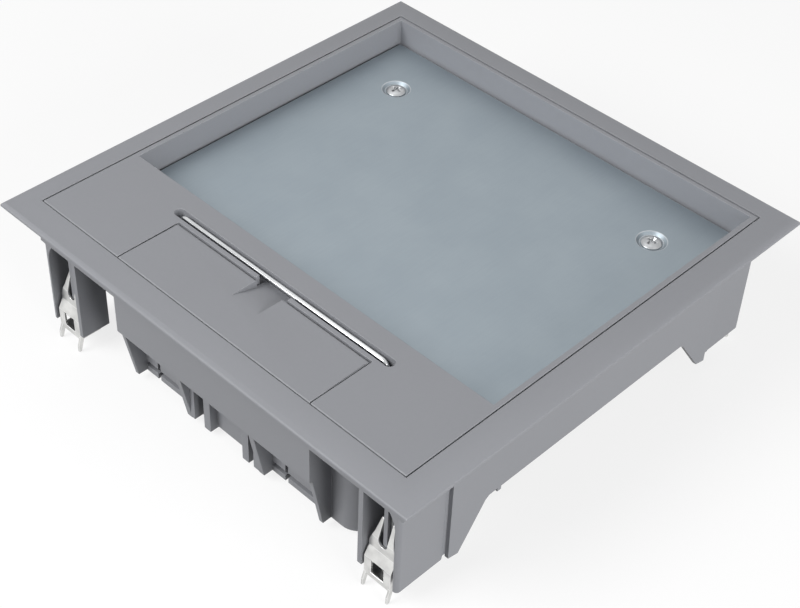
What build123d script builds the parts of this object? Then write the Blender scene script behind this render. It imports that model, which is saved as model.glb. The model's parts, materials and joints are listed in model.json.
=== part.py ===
from build123d import *
import os

# Floor socket box: a mounting frame whose flange rests on the floor, four claws that grip the
# floor's cut-out, cups with sockets, and a hinged lid with a steel plate, a pull-up wire
# handle and a cord flap.
# Millimetres. X runs along the cord flap, +Y is the hinge side, and Z = 0 is the floor
# surface under the flange. The centre of the flange is at X = Y = 0.

os.makedirs("parts", exist_ok=True)

# Fits
running_gap = 0.05
slide_gap = 0.08
seat_gap = 0.3
drop_in_gap = 0.2

# How far a cutting shape runs past the face that it opens
cut_past = 1.0

# Flange, collar and walls of the frame
flange_side = 264.0
flange_edge = 1.3
flange_crown = 0.55
top_z = 3.9
box_side = 240.8
frame_wall = 2.2
collar_depth = 20.0
wall_depth = 44.0
heel_width = 2.3
heel_drop = 1.4
tooth_run = 15.5
front_tooth_depth = 67.6
front_tooth_width = 6.2
front_tooth_rise = 1.3
rear_tooth_depth = 67.2
rear_tooth_width = 8.1
rear_tooth_drop = 1.6
rear_step_width = 1.6
rear_step_depth = 63.5
ledge_width = 5.0
ledge_thickness = 2.4
ledge_front_reach = 90.0
ledge_rear_reach = 100.0

# Corner towers
tower_width = 25.8
tower_length = 27.2
tower_inset = 2.1
tower_gap = 1.8
tower_depth = 66.0
tower_side_depth = 67.0
tower_wall = 2.6
tower_back_reach = 15.8
tower_back_wall = 2.4
tower_corner_radius = 2.0
tower_plate_depth = 20.5
tower_plate_thickness = 2.5
tower_plate_inset = 4.0
web_width = 3.4
web_height = 10.0
web_thickness = 2.0
web_sag_width = 0.85
web_sag_height = 5.0
backing_lap = 2.0
backing_thickness = 2.0
backing_depth = 65.0
rib_width = 2.3
rib_inset = 4.8
rib_reach = 1.7
rib_depth = 52.0

# Skirt, gussets and windows of the cord chamber
skirt_half = 65.2
skirt_depth = 41.2
gusset_thickness = 2.4
gusset_start = 33.0
gusset_front = 8.0
mid_gusset_x = 25.0
mid_gusset_thickness = 3.4
post_x = 22.5
post_width = 4.2
post_front = 7.3
post_depth = 71.5
prong_x = 13.3
prong_width = 4.4
prong_front = 8.7
prong_depth = 74.0
chamber_front = 13.0
chamber_wall = 2.0
chamber_depth = 73.0
hole_top = 30.0
bay_slot_top = 66.8
bay_slot_height = 3.0
bay_split_width = 1.8
bay_split_top = 62.4
bay_split_inset = 9.6
round_wall_start = 72.0
round_wall_radius = 10.0
chamber_floor_thickness = 2.0

# Rails that carry the cups
rail_thickness = 2.5
rail_top = 30.0
rail_drop = 6.0
rail_ledge_width = 4.5
rail_ledge_thickness = 2.5
front_rail_y = -58.5
rear_rail_lead = 1.6

# Claws, clamp screws, washers and clips
claw_side_inset = 14.4
claw_half_width = 7.9
claw_thickness = 1.2
claw_inset = 3.3
claw_foot_inset = 0.6
horn_tip_depth = 36.3
horn_tip_x = 3.9
horn_knee_depth = 43.9
horn_knee_x = 5.4
horn_root_depth = 50.8
horn_lean = 3.2
lean_start_depth = 46.8
claw_slot_half = 2.6
claw_slot_bottom = 50.3
claw_step_top = 54.0
claw_step_bottom = 59.0
claw_window_half = 3.7
claw_window_top = 59.3
claw_window_bottom = 67.2
claw_bottom = 70.3
claw_foot_thickness = 1.2
claw_foot_bottom = 77.2
claw_foot_reach = 1.5
claw_foot_root = 2.0
claw_boss_radius = 3.7
claw_boss_height = 4.2
clamp_screw_inset = 9.2
clamp_screw_radius = 2.5
clamp_screw_bottom = 74.0
clamp_head_radius = 4.4
clamp_head_height = 2.8
hex_key_radius = 2.0
hex_key_depth = 2.0
washer_radius = 4.8
washer_thickness = 0.8
washer_gap = 0.15
clip_radius = 3.4
clip_thickness = 0.8

# Lid
lid_gap = 0.6
lid_wall = 2.75
lid_floor = 2.4
lid_draft = 0.5
lid_draft_start = 10.0
recess_depth = 13.8
plate_thickness = 2.0
plate_gap = 1.1
plate_front_gap = 0.7
plate_edge_bevel = 0.3
strip_edge_y = -64.0
strip_thickness = 3.0
strip_wall = 2.4
lid_edge_bevel = 0.3
lid_rear_round = 1.0
lid_rib_height = 4.0
lid_rib_thickness = 1.8
lid_rib_reach = 90.0
lid_rib_columns = 5
lid_rib_rows = 4
lid_rib_end_gap = 8.0

# Screws of the steel plate
plate_screw_x = 84.9
plate_screw_y = 81.4
dish_radius = 7.5
dish_floor_radius = 5.9
dish_depth = 1.5
plate_head_radius = 5.2
plate_head_height = 1.7
plate_screw_radius = 2.5
plate_screw_length = 6.4
plate_boss_radius = 5.0
cross_width = 1.4
cross_length = 5.4
cross_depth = 1.2

# Wire handle and its slot
slot_y = -77.3
slot_half_length = 70.8
slot_width = 5.2
slot_depth = 6.5
trough_wall = 2.0
wire_radius = 1.25
wire_sink = 1.6
leg_x = 67.4
wire_bend_radius = 4.0
handle_travel = 20.0
leg_end = 1.0
stop_ring_thickness = 1.0
stop_ring_radius = 3.0
guide_boss_radius = 3.4

# Cord flap
flap_half = 62.5
flap_gap = 0.5
flap_rear_y = -82.8
flap_rear_gap = 0.6
flap_thickness = 2.8
flap_rear_round = 1.5
flap_pivot_inset = 2.4
flap_knuckle_radius = 2.3
flap_knuckle_length = 4.6
flap_pin_radius = 1.0
cheek_thickness = 2.8
cheek_depth = 11.9
flap_rest_width = 1.8
flap_rest_length = 18.0
notch_half = 8.6
notch_length = 15.0
notch_overhang = 7.0
notch_depth = 5.8
notch_wall = 1.2
foam_half = 55.0
foam_width = 10.0
foam_height = 5.1
foam_inset = 1.35

# Lid hinge
hinge_inset = 4.15
hinge_drop = 2.2
hinge_pin_radius = 1.5
hinge_pin_start = 0.3
hinge_pin_end = 0.4
hinge_bore_end = 0.3

# Rest pads
pad_length = 14.0
pad_width = 3.2
pad_sink = 1.0
pad_y = 45.0

# Device cups, carrier plates and sockets
cup_pitch = 70.0
cup_width = 66.0
cup_rear_gap = 4.5
cup_front_gap = 5.0
cup_wall = 2.0
cup_rim_depth = 42.0
cup_height = 30.0
cup_ear_width = 40.0
cup_ear_thickness = 2.2
cup_post = 5.0
carrier_thickness = 2.0
carrier_sink = 0.5
module_pitch = 48.0
module_body = 45.0
module_face = 47.0
module_face_thickness = 1.2
module_depth = 24.0
socket_radius = 19.5
socket_depth = 16.0
contact_radius = 2.45
contact_pitch = 19.0
contact_depth = 5.0
clip_blade_width = 5.0
clip_blade_thickness = 1.0
clip_blade_height = 9.0
blank_leg_width = 8.0
blank_leg_thickness = 1.2
blank_leg_length = 7.0

# Sizes and places that follow from the ones above
flange_half = flange_side / 2
box_half = box_side / 2
open_half = box_half - frame_wall
lid_half = open_half - lid_gap
rim_half = lid_half - lid_wall
plate_top = top_z - recess_depth
tray_top = plate_top - plate_thickness
lid_bottom = tray_top - lid_floor
ledge_top = lid_bottom - seat_gap
tower_in = box_half - tower_width
tower_out = box_half - tower_inset
tower_back = box_half - tower_back_reach
tower_end = box_half - tower_length
wall_end = tower_end - tower_gap
tower_top = frame_wall - collar_depth
claw_x = box_half - claw_side_inset
chamber_y = chamber_front - box_half
wall_middle_y = chamber_y + chamber_wall / 2
bay_start = mid_gusset_x + mid_gusset_thickness / 2
bay_end = skirt_half - gusset_thickness
rail_bottom = cup_rim_depth + rail_drop
rear_rail_y = tower_back - rear_rail_lead
strip_under = top_z - strip_thickness
slot_floor = top_z - slot_depth
trough_under = slot_floor - trough_wall
wire_z = top_z - wire_sink
ring_top = lid_bottom - handle_travel - running_gap
leg_bottom = ring_top - stop_ring_thickness - leg_end
flap_open_half = flap_half + flap_gap
flap_open_rear = flap_rear_y + flap_rear_gap
finger_half = notch_half + notch_wall + flap_gap
flap_under = top_z - flap_thickness
flap_pivot_y = flap_rear_y - flap_pivot_inset
flap_pivot_z = top_z - flap_knuckle_radius
notch_front = flap_rear_y - notch_length
notch_rear = flap_rear_y + notch_overhang
notch_slope = notch_depth / (notch_length + notch_overhang)
hinge_y = lid_half - hinge_inset
hinge_z = top_z - hinge_drop
screw_y = box_half - clamp_screw_inset
claw_front = box_half - claw_inset
claw_back = claw_front - claw_thickness
claw_foot_front = box_half - claw_foot_inset
claw_foot_back = claw_foot_front - claw_thickness
washer_top = washer_thickness - tower_plate_depth
head_seat = washer_top + running_gap
plate_under = -tower_plate_depth - tower_plate_thickness
cup_front = front_rail_y + cup_front_gap
cup_rear = rear_rail_y - cup_rear_gap
cup_middle = (cup_front + cup_rear) / 2
cup_inner_width = cup_width - 2 * cup_wall
cup_inner_length = cup_rear - cup_front - 2 * cup_wall
cup_bottom = cup_rim_depth + cup_height
carrier_top = -cup_rim_depth - carrier_sink
carrier_under = carrier_top - carrier_thickness
face_top = carrier_top + module_face_thickness


def block(x_span, y_span, z_span):
    spans = (x_span, y_span, z_span)
    size = [abs(span[1] - span[0]) for span in spans]
    middle = [(span[0] + span[1]) / 2 for span in spans]
    return Pos(*middle) * Box(*size)


def upright(x, y, z_span, radius):
    length = abs(z_span[1] - z_span[0])
    return Pos(x, y, (z_span[0] + z_span[1]) / 2) * Cylinder(radius, length)


def crosswise(x_span, y, z, radius):
    length = abs(x_span[1] - x_span[0])
    return Pos((x_span[0] + x_span[1]) / 2, y, z) * Rot(0, 90, 0) * Cylinder(radius, length)


def plate_along_x(outline, x_span):
    corners = [(x_span[0], y, z) for y, z in outline]
    face = make_face(Polyline(*corners, close=True))
    return extrude(face, amount=x_span[1] - x_span[0], dir=(1, 0, 0))


def plate_along_y(outline, y_span):
    corners = [(x, y_span[0], z) for x, z in outline]
    face = make_face(Polyline(*corners, close=True))
    return extrude(face, amount=y_span[1] - y_span[0], dir=(0, 1, 0))


def around(middle, width):
    return (middle - width / 2, middle + width / 2)


def left_and_right(solid):
    return solid + solid.mirror(Plane.YZ)


def front_and_rear(solid):
    return solid + solid.mirror(Plane.XZ)


def write(node, shape):
    export_step(shape, f"parts/{node}.step")


# Mounting frame

def crowned_bar():
    # The flange's section along the whole flange: thin outside, rising to the lid.
    outer = flange_half
    middle = (outer + open_half) / 2
    middle_z = (flange_edge + top_z) / 2 + flange_crown
    left_rim = Line((-outer, -outer, 0), (-outer, -outer, flange_edge))
    left_crown = ThreePointArc(
        (-outer, -outer, flange_edge), (-middle, -outer, middle_z), (-open_half, -outer, top_z)
    )
    level = Line((-open_half, -outer, top_z), (open_half, -outer, top_z))
    right_crown = ThreePointArc(
        (open_half, -outer, top_z), (middle, -outer, middle_z), (outer, -outer, flange_edge)
    )
    right_rim = Line((outer, -outer, flange_edge), (outer, -outer, 0))
    base = Line((outer, -outer, 0), (-outer, -outer, 0))
    face = make_face([left_rim, left_crown, level, right_crown, right_rim, base])
    return extrude(face, amount=flange_side, dir=(0, 1, 0))


def flange():
    mitred = crowned_bar() & (Rot(0, 0, 90) * crowned_bar())
    return mitred - Box(2 * open_half, 2 * open_half, 4 * top_z)


def collar():
    outer = block(around(0, box_side), around(0, box_side), (-collar_depth, flange_edge / 2))
    return outer - Box(2 * open_half, 2 * open_half, 4 * collar_depth)


def side_wall():
    # The right wall, with a tooth at each end of its lower edge.
    front_tip = front_tooth_width - wall_end
    front_heel = front_tip + tooth_run
    rear_tip = wall_end - rear_tooth_width
    rear_heel = rear_tip - tooth_run
    outline = [
        (-wall_end, 0),
        (-wall_end, front_tooth_rise - front_tooth_depth),
        (front_tip, -front_tooth_depth),
        (front_heel, -wall_depth - heel_drop),
        (front_heel + heel_width, -wall_depth),
        (rear_heel - heel_width, -wall_depth),
        (rear_heel, -wall_depth - heel_drop),
        (rear_tip, -rear_tooth_depth),
        (wall_end - rear_step_width, -rear_tooth_depth - rear_tooth_drop),
        (wall_end - rear_step_width, -rear_step_depth),
        (wall_end, -rear_step_depth),
        (wall_end, 0),
    ]
    return plate_along_x(outline, (open_half, box_half))


def rear_wall():
    return block(around(0, 2 * tower_in), (open_half, box_half), (-wall_depth, 0))


def tower():
    # The front right tower: three walls, a top plate for the clamp screw, and a guide rib.
    inner = block(
        (tower_in, tower_in + tower_wall), (-box_half, -tower_back), (-tower_depth, tower_top)
    )
    side = block(
        (tower_out - tower_wall, tower_out), (-box_half, -tower_end), (-tower_side_depth, tower_top)
    )
    corner = side.edges().filter_by(Axis.Z).sort_by(Axis.Y)[:2].sort_by(Axis.X)[-1]
    side = fillet(corner, tower_corner_radius)
    back_y = (-tower_back - tower_back_wall, -tower_back)
    back = block((tower_in, tower_out), back_y, (-tower_depth, -tower_plate_depth))
    shoulder_x = (tower_out - tower_wall, box_half)
    shoulder = block(shoulder_x, (-box_half, -tower_end), (-collar_depth, tower_top))
    top_y = (tower_plate_inset - box_half, -tower_back)
    top = block((tower_in, tower_out), top_y, (plate_under, -tower_plate_depth))
    rib_y = (rib_inset - box_half, rib_inset + rib_reach - box_half)
    rib = block(around(claw_x, rib_width), rib_y, (-rib_depth, -tower_plate_depth))
    clip_room = (plate_under - clip_thickness - 2 * slide_gap, plate_under)
    rib -= upright(claw_x, -screw_y, clip_room, clip_radius + drop_in_gap)
    return inner + side + back + shoulder + top + rib + tower_web()


def tower_web():
    # The curved web in the tower's upper outer corner.
    right = tower_out - tower_wall
    top = -collar_depth
    left = right - web_width
    low = top - web_height
    front = -box_half
    level = Line((right, front, top), (left, front, top))
    sag = (right - web_sag_width, front, top - web_sag_height)
    curve = ThreePointArc((left, front, top), sag, (right, front, low))
    edge = Line((right, front, low), (right, front, top))
    return extrude(make_face([level, curve, edge]), amount=web_thickness, dir=(0, 1, 0))


def tower_backing():
    # The strip behind the groove between the front right tower and the side wall.
    backing_x = (open_half - backing_thickness, open_half)
    backing_y = (-tower_end - backing_lap, backing_lap - wall_end)
    return block(backing_x, backing_y, (-backing_depth, tower_top))


def clamp_screw_hole():
    height = (plate_under - cut_past, cut_past - tower_plate_depth)
    return upright(claw_x, -screw_y, height, clamp_screw_radius + running_gap)


def ledges():
    # The inner rim that the lid comes down on.
    height = (ledge_top - ledge_thickness, ledge_top)
    inner = open_half - ledge_width
    side = block((inner, open_half), (-ledge_front_reach, ledge_rear_reach), height)
    front = block((skirt_half, ledge_front_reach), (-open_half, -inner), height)
    return left_and_right(side) + left_and_right(front)


def skirt():
    return block(around(0, 2 * skirt_half), (-box_half, -open_half), (-skirt_depth, 0))


def gusset(x_span):
    # A sloping rib from the skirt's lower edge to the foot of the chamber wall.
    outline = [
        (-box_half, -collar_depth),
        (-box_half, -gusset_start),
        (gusset_front - box_half, -chamber_depth),
        (wall_middle_y, -chamber_depth),
        (wall_middle_y, -collar_depth),
    ]
    return plate_along_x(outline, x_span)


def front_rib(x_middle, width, front, depth):
    # An upright rib on the chamber wall: a post or a prong beside a tall hole.
    rib_y = (front - box_half, wall_middle_y)
    return block(around(x_middle, width), rib_y, (-depth, -collar_depth))


def chamber_front_wall():
    wall_y = (chamber_y, chamber_y + chamber_wall)
    wall = block(around(0, 2 * skirt_half), wall_y, (-chamber_depth, -collar_depth))
    shelf_y = (-open_half, chamber_y + chamber_wall)
    shelf_z = (-collar_depth - chamber_wall, -collar_depth)
    return wall + block(around(0, 2 * skirt_half), shelf_y, shelf_z)


def chamber_wall_cuts():
    # Two tall holes between the posts and the prongs, and beside each middle gusset a window
    # scored by a long slot and a cross slot. The left window is a copy of the right one.
    cut_y = (chamber_y - cut_past, chamber_y + chamber_wall + cut_past)
    low = -prong_depth - cut_past
    hole_x = (prong_x + prong_width / 2, post_x - post_width / 2)
    cuts = left_and_right(block(hole_x, cut_y, (low, -hole_top)))
    slot_z = (-bay_slot_top - bay_slot_height, -bay_slot_top)
    for bay_x in (-bay_end, bay_start):
        cuts += block((bay_x, bay_x + bay_end - bay_start), cut_y, slot_z)
        split_x = around(bay_x + bay_split_inset, bay_split_width)
        cuts += block(split_x, cut_y, (low, -bay_split_top))
    return cuts


def round_wall():
    # The chamber's right end: a flat, a round corner and a wall back to the front rail.
    low = (-chamber_depth, -collar_depth)
    flat_x = (bay_end, round_wall_start)
    flat = block(flat_x, (chamber_y, chamber_y + chamber_wall), low)
    centre_y = chamber_y + round_wall_radius
    height = chamber_depth - collar_depth
    ring = Cylinder(round_wall_radius, height)
    ring -= Cylinder(round_wall_radius - chamber_wall, height)
    reach = 2 * round_wall_radius
    quarter = Pos(reach / 2, -reach / 2, 0) * Box(reach, reach, height)
    middle_z = -(chamber_depth + collar_depth) / 2
    corner = Pos(round_wall_start, centre_y, middle_z) * (ring & quarter)
    side_x = round_wall_start + round_wall_radius
    side = block((side_x - chamber_wall, side_x), (centre_y, front_rail_y), low)
    return flat + corner + side


def chamber_floor():
    # The chamber's floor, from its front wall to the front rail, round at both ends.
    height = (-chamber_depth, chamber_floor_thickness - chamber_depth)
    corner_y = chamber_y + round_wall_radius
    inner_radius = round_wall_radius - chamber_wall / 2
    front = block(around(0, 2 * round_wall_start), (wall_middle_y, front_rail_y), height)
    side_x = (round_wall_start, round_wall_start + inner_radius)
    side = block(side_x, (corner_y, front_rail_y), height)
    side += upright(round_wall_start, corner_y, height, inner_radius)
    return front + left_and_right(side)


def rails():
    # Two cross rails with ledges for the ears of the cups.
    height = (-rail_bottom, -rail_top)
    ledge_z = (-rail_bottom, rail_ledge_thickness - rail_bottom)
    front_y = (front_rail_y - rail_thickness, front_rail_y)
    rear_y = (rear_rail_y, rear_rail_y + rail_thickness)
    front = block(around(0, 2 * open_half + frame_wall), front_y, height)
    rear = block(around(0, 2 * tower_in + tower_wall), rear_y, height)
    front_ledge = (front_rail_y, front_rail_y + rail_ledge_width)
    rear_ledge = (rear_rail_y - rail_ledge_width, rear_rail_y)
    span = around(0, 2 * tower_in)
    return front + rear + block(span, front_ledge, ledge_z) + block(span, rear_ledge, ledge_z)


def floor_frame():
    body = flange() + collar() + skirt() + rear_wall()
    body += left_and_right(side_wall())
    body += left_and_right(front_and_rear(tower() + tower_backing()))
    body += ledges()
    body += rails()
    body += chamber_floor()
    body += chamber_front_wall()
    body += left_and_right(round_wall())
    body += left_and_right(gusset((bay_end, skirt_half)))
    body += left_and_right(gusset(around(mid_gusset_x, mid_gusset_thickness)))
    body += left_and_right(front_rib(post_x, post_width, post_front, post_depth))
    body += left_and_right(front_rib(prong_x, prong_width, prong_front, prong_depth))
    body -= chamber_wall_cuts()
    body -= left_and_right(front_and_rear(clamp_screw_hole()))
    bore_x = (open_half - cut_past, box_half - hinge_bore_end)
    bore = crosswise(bore_x, hinge_y, hinge_z, hinge_pin_radius + running_gap)
    return body - left_and_right(bore)


# Claws and clamp screws, made for the front right tower and placed in all four

def claw_sheet():
    # The claw's bent sheet seen from its side: horns lean in, and the foot stands out.
    tip = horn_lean - claw_front
    outline = [
        (tip, -horn_tip_depth),
        (-claw_front, -lean_start_depth),
        (-claw_front, -claw_step_top),
        (-claw_foot_front, -claw_step_bottom),
        (-claw_foot_front, -claw_bottom),
        (-claw_foot_back, -claw_bottom),
        (-claw_foot_back, -claw_step_bottom),
        (-claw_back, -claw_step_top),
        (-claw_back, -lean_start_depth),
        (tip + claw_thickness, -horn_tip_depth),
    ]
    return plate_along_x(outline, around(claw_x, 2 * claw_half_width))


def claw_front_view():
    # The same sheet seen from the front: two horns, one slot and one window.
    left_edge = [
        (-claw_half_width, -claw_bottom),
        (-claw_half_width, -horn_root_depth),
        (-horn_knee_x, -horn_knee_depth),
        (-horn_tip_x, -horn_tip_depth),
    ]
    right_edge = [(-x, z) for x, z in reversed(left_edge)]
    outline = [(claw_x + x, z) for x, z in left_edge + right_edge]
    depth = (-box_half, 0)
    view = plate_along_y(outline, depth)
    slot_centre = claw_slot_half - claw_slot_bottom
    slot = block(around(claw_x, 2 * claw_slot_half), depth, (slot_centre, 0))
    slot_end = Rot(90, 0, 0) * Cylinder(claw_slot_half, box_half)
    slot += Pos(claw_x, -box_half / 2, slot_centre) * slot_end
    window_z = (-claw_window_bottom, -claw_window_top)
    return view - slot - block(around(claw_x, 2 * claw_window_half), depth, window_z)


def claw_foot():
    # One side strip, which runs down below the claw and curls outwards at its end.
    front = -claw_foot_front
    reach = front - claw_foot_reach
    outline = [
        (front, -claw_step_bottom),
        (front, claw_foot_reach - claw_bottom),
        (reach, -claw_bottom - 2 * claw_foot_reach),
        (reach, -claw_foot_bottom),
        (front, -claw_foot_bottom),
        (front + claw_foot_root, -claw_bottom),
        (front + claw_foot_root, -claw_step_bottom),
    ]
    right = claw_x + claw_half_width
    return plate_along_x(outline, (right - claw_foot_thickness, right))


def claw():
    sheet = claw_sheet() & claw_front_view()
    left_foot = Pos(claw_foot_thickness - 2 * claw_half_width, 0, 0) * claw_foot()
    body = sheet + claw_foot() + left_foot
    flange_y = (-claw_foot_front, claw_boss_radius - screw_y)
    flange_z = (-claw_bottom, claw_thickness - claw_bottom)
    body += block(around(claw_x, 2 * claw_half_width), flange_y, flange_z)
    boss_z = (-claw_bottom, claw_boss_height - claw_bottom)
    body += upright(claw_x, -screw_y, boss_z, claw_boss_radius)
    thread_z = (boss_z[0] - cut_past, boss_z[1] + cut_past)
    return body - upright(claw_x, -screw_y, thread_z, clamp_screw_radius + running_gap)


def clamp_screw():
    head_z = (head_seat, head_seat + clamp_head_height)
    body = upright(claw_x, -screw_y, head_z, clamp_head_radius)
    body += upright(claw_x, -screw_y, (-clamp_screw_bottom, head_seat), clamp_screw_radius)
    key_low = Pos(claw_x, -screw_y, head_z[1] - hex_key_depth)
    return body - key_low * extrude(RegularPolygon(hex_key_radius, 6), amount=2 * hex_key_depth)


def ring(x, y, z_span, outer, inner):
    return upright(x, y, z_span, outer) - upright(x, y, z_span, inner)


def screw_clip():
    top = plate_under - running_gap
    return ring(claw_x, -screw_y, (top - clip_thickness, top), clip_radius, clamp_screw_radius)


def clamp_washer():
    inner = clamp_screw_radius + washer_gap
    return ring(claw_x, -screw_y, (-tower_plate_depth, washer_top), washer_radius, inner)


corner_names = ("front_right", "front_left", "rear_left", "rear_right")


def in_corner(shape, corner):
    # The rear claws are the front ones turned round.
    if corner == "front_right":
        return shape
    if corner == "front_left":
        return Pos(-2 * claw_x, 0, 0) * shape
    if corner == "rear_left":
        return Rot(0, 0, 180) * shape
    return Pos(2 * claw_x, 0, 0) * Rot(0, 0, 180) * shape


# Lid

def lid_shell():
    outer = block(around(0, 2 * lid_half), around(0, 2 * lid_half), (lid_bottom, top_z))
    outer = chamfer(outer.edges().group_by(Axis.Z)[-1], lid_edge_bevel)
    recess = block(around(0, 2 * rim_half), (strip_edge_y, rim_half), (tray_top, 2 * top_z))
    hollow_y = (-rim_half, strip_edge_y - strip_wall)
    hollow = block(around(0, 2 * rim_half), hollow_y, (2 * lid_bottom, strip_under))
    return outer - recess - hollow


def lid_rear_edge():
    # What is taken off to round the rear edge, so that it clears the flange as it swings.
    radius = lid_rear_round
    corner_y = (lid_half - radius, lid_half + cut_past)
    corner = block(around(0, 2 * lid_half), corner_y, (top_z - radius, top_z + cut_past))
    return corner - crosswise((-lid_half, lid_half), lid_half - radius, top_z - radius, radius)


def lid_front_draft():
    # What is taken off below the front edge, which swings out as the lid opens.
    start = top_z - lid_draft_start
    low = lid_bottom - cut_past
    foot = lid_draft - lid_half
    outline = [(-lid_half, start), (foot, lid_bottom), (foot, low), (-lid_half, low)]
    return plate_along_x(outline, around(0, 2 * lid_half))


def lid_ribs():
    # A grid of stiffening ribs below the tray.
    height = (lid_bottom - lid_rib_height, lid_bottom)
    near = strip_edge_y + lid_rib_end_gap
    far = lid_rib_reach
    ribs = []
    for column in range(lid_rib_columns):
        x = lid_rib_reach * (2 * column / (lid_rib_columns - 1) - 1)
        ribs.append(block(around(x, lid_rib_thickness), (near, far), height))
    for row in range(lid_rib_rows):
        y = near + (far - near) * row / (lid_rib_rows - 1)
        ribs.append(block(around(0, 2 * lid_rib_reach), around(y, lid_rib_thickness), height))
    return ribs


def handle_trough():
    # The floor and walls of the handle's slot, with a guide boss for each leg.
    length = 2 * (slot_half_length + trough_wall)
    width = slot_width + 2 * trough_wall
    body = block(around(0, length), around(slot_y, width), (trough_under, strip_under))
    boss = upright(leg_x, slot_y, (lid_bottom, trough_under), guide_boss_radius)
    return body + left_and_right(boss)


def handle_slot():
    # The slot itself, the legs' bores, room for the wire's bends, and the finger gap.
    straight = slot_half_length - slot_width / 2
    width = around(slot_y, slot_width)
    height = (slot_floor, top_z + cut_past)
    end = upright(straight, slot_y, height, slot_width / 2)
    bore = upright(leg_x, slot_y, (lid_bottom - cut_past, top_z), wire_radius + slide_gap)
    bend_x = (leg_x - wire_bend_radius - wire_radius, leg_x)
    bend_z = (wire_z - wire_bend_radius - slide_gap, top_z)
    bend = block(bend_x, around(slot_y, 2 * (wire_radius + slide_gap)), bend_z)
    gap_y = (flap_open_rear - cut_past, slot_y + slot_width / 2)
    gap = block(around(0, 2 * finger_half), gap_y, (trough_under - cut_past, top_z + cut_past))
    return block(around(0, 2 * straight), width, height) + left_and_right(end + bore + bend) + gap


def flap_opening():
    opening_y = (-lid_half - cut_past, flap_open_rear)
    return block(around(0, 2 * flap_open_half), opening_y, (2 * lid_bottom, top_z + cut_past))


def flap_cheeks():
    # The opening's side walls, which hold the flap's pins, and the rests it lies on.
    low = top_z - cheek_depth
    cheek_x = (flap_open_half, flap_open_half + cheek_thickness)
    cheek = block(cheek_x, (-lid_half, flap_open_rear), (low, strip_under))
    rest_x = (flap_open_half - flap_rest_width, flap_open_half)
    rest_y = (-lid_half, flap_rest_length - lid_half)
    rest = block(rest_x, rest_y, (low, flap_under - running_gap))
    return left_and_right(cheek + rest)


def lid_frame():
    body = lid_shell()
    for rib in lid_ribs():
        body += rib
    body += handle_trough()
    boss_z = (lid_bottom - lid_rib_height, lid_bottom)
    body += left_and_right(upright(plate_screw_x, plate_screw_y, boss_z, plate_boss_radius))
    body -= flap_opening()
    body += flap_cheeks()
    body -= handle_slot()
    thread_z = (plate_top - dish_depth - plate_screw_length, tray_top)
    body -= left_and_right(upright(plate_screw_x, plate_screw_y, thread_z, plate_screw_radius))
    body -= lid_rear_edge()
    body -= lid_front_draft()
    pin_x = (rim_half + hinge_pin_start, lid_half + cut_past)
    body -= left_and_right(crosswise(pin_x, hinge_y, hinge_z, hinge_pin_radius))
    flap_pin = crosswise(flap_pin_span(), flap_pivot_y, flap_pivot_z, flap_pin_radius)
    return body - left_and_right(flap_pin)


def steel_insert_plate():
    half = rim_half - plate_gap
    plate_y = (strip_edge_y + plate_front_gap, half)
    plate = block(around(0, 2 * half), plate_y, (tray_top, plate_top))
    plate = chamfer(plate.edges().group_by(Axis.Z)[-1], plate_edge_bevel)
    dish = Cone(dish_floor_radius, dish_radius, dish_depth)
    dish = Pos(plate_screw_x, plate_screw_y, plate_top - dish_depth / 2) * dish
    hole_z = (tray_top - cut_past, plate_top)
    hole = upright(plate_screw_x, plate_screw_y, hole_z, plate_screw_radius + drop_in_gap)
    return plate - left_and_right(dish + hole)


def plate_screws():
    seat = plate_top - dish_depth
    head_z = (seat, seat + plate_head_height)
    dome_radius = (plate_head_radius ** 2 + plate_head_height ** 2) / (2 * plate_head_height)
    dome = Pos(0, 0, head_z[1] - dome_radius) * Sphere(dome_radius)
    screw = upright(0, 0, head_z, plate_head_radius) & dome
    screw += upright(0, 0, (seat - plate_screw_length, seat), plate_screw_radius)
    arm_z = (head_z[1] - cross_depth, head_z[1] + cut_past)
    long_arm = around(0, cross_length)
    short_arm = around(0, cross_width)
    screw -= block(long_arm, short_arm, arm_z) + block(short_arm, long_arm, arm_z)
    pair = [Pos(x, plate_screw_y, 0) * screw for x in (-plate_screw_x, plate_screw_x)]
    return Compound(children=pair)


def lid_hinge_pins():
    pin_x = (rim_half + hinge_pin_start, box_half - hinge_pin_end)
    right = crosswise(pin_x, hinge_y, hinge_z, hinge_pin_radius)
    return Compound(children=[right, right.mirror(Plane.YZ)])


# Cord flap

def flap_pin_span():
    return (flap_half - flap_knuckle_length, flap_open_half + cheek_thickness - running_gap)


def flap_hinge_pins():
    right = crosswise(flap_pin_span(), flap_pivot_y, flap_pivot_z, flap_pin_radius)
    return Compound(children=[right, right.mirror(Plane.YZ)])


def cord_flap():
    slab_y = (-lid_half, flap_rear_y)
    slab = block(around(0, 2 * flap_half), slab_y, (flap_under, top_z))
    slab = chamfer(slab.edges().group_by(Axis.Z)[-1], lid_edge_bevel)
    knuckle_x = (flap_half - flap_knuckle_length, flap_half)
    knuckle = crosswise(knuckle_x, flap_pivot_y, flap_pivot_z, flap_knuckle_radius)
    radius = flap_rear_round
    edge_y = (flap_rear_y - radius, flap_rear_y + cut_past)
    edge = block(around(0, 2 * flap_half), edge_y, (top_z - radius, top_z + cut_past))
    edge -= crosswise((-flap_half, flap_half), flap_rear_y - radius, top_z - radius, radius)
    body = slab - edge + left_and_right(knuckle) + notch_shell() - notch_room()
    bore_x = (flap_half - flap_knuckle_length - running_gap, flap_half + cut_past)
    bore = crosswise(bore_x, flap_pivot_y, flap_pivot_z, flap_pin_radius + running_gap)
    return body - left_and_right(bore)


def notch_floor_z(y):
    return top_z - notch_slope * (y - notch_front)


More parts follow.
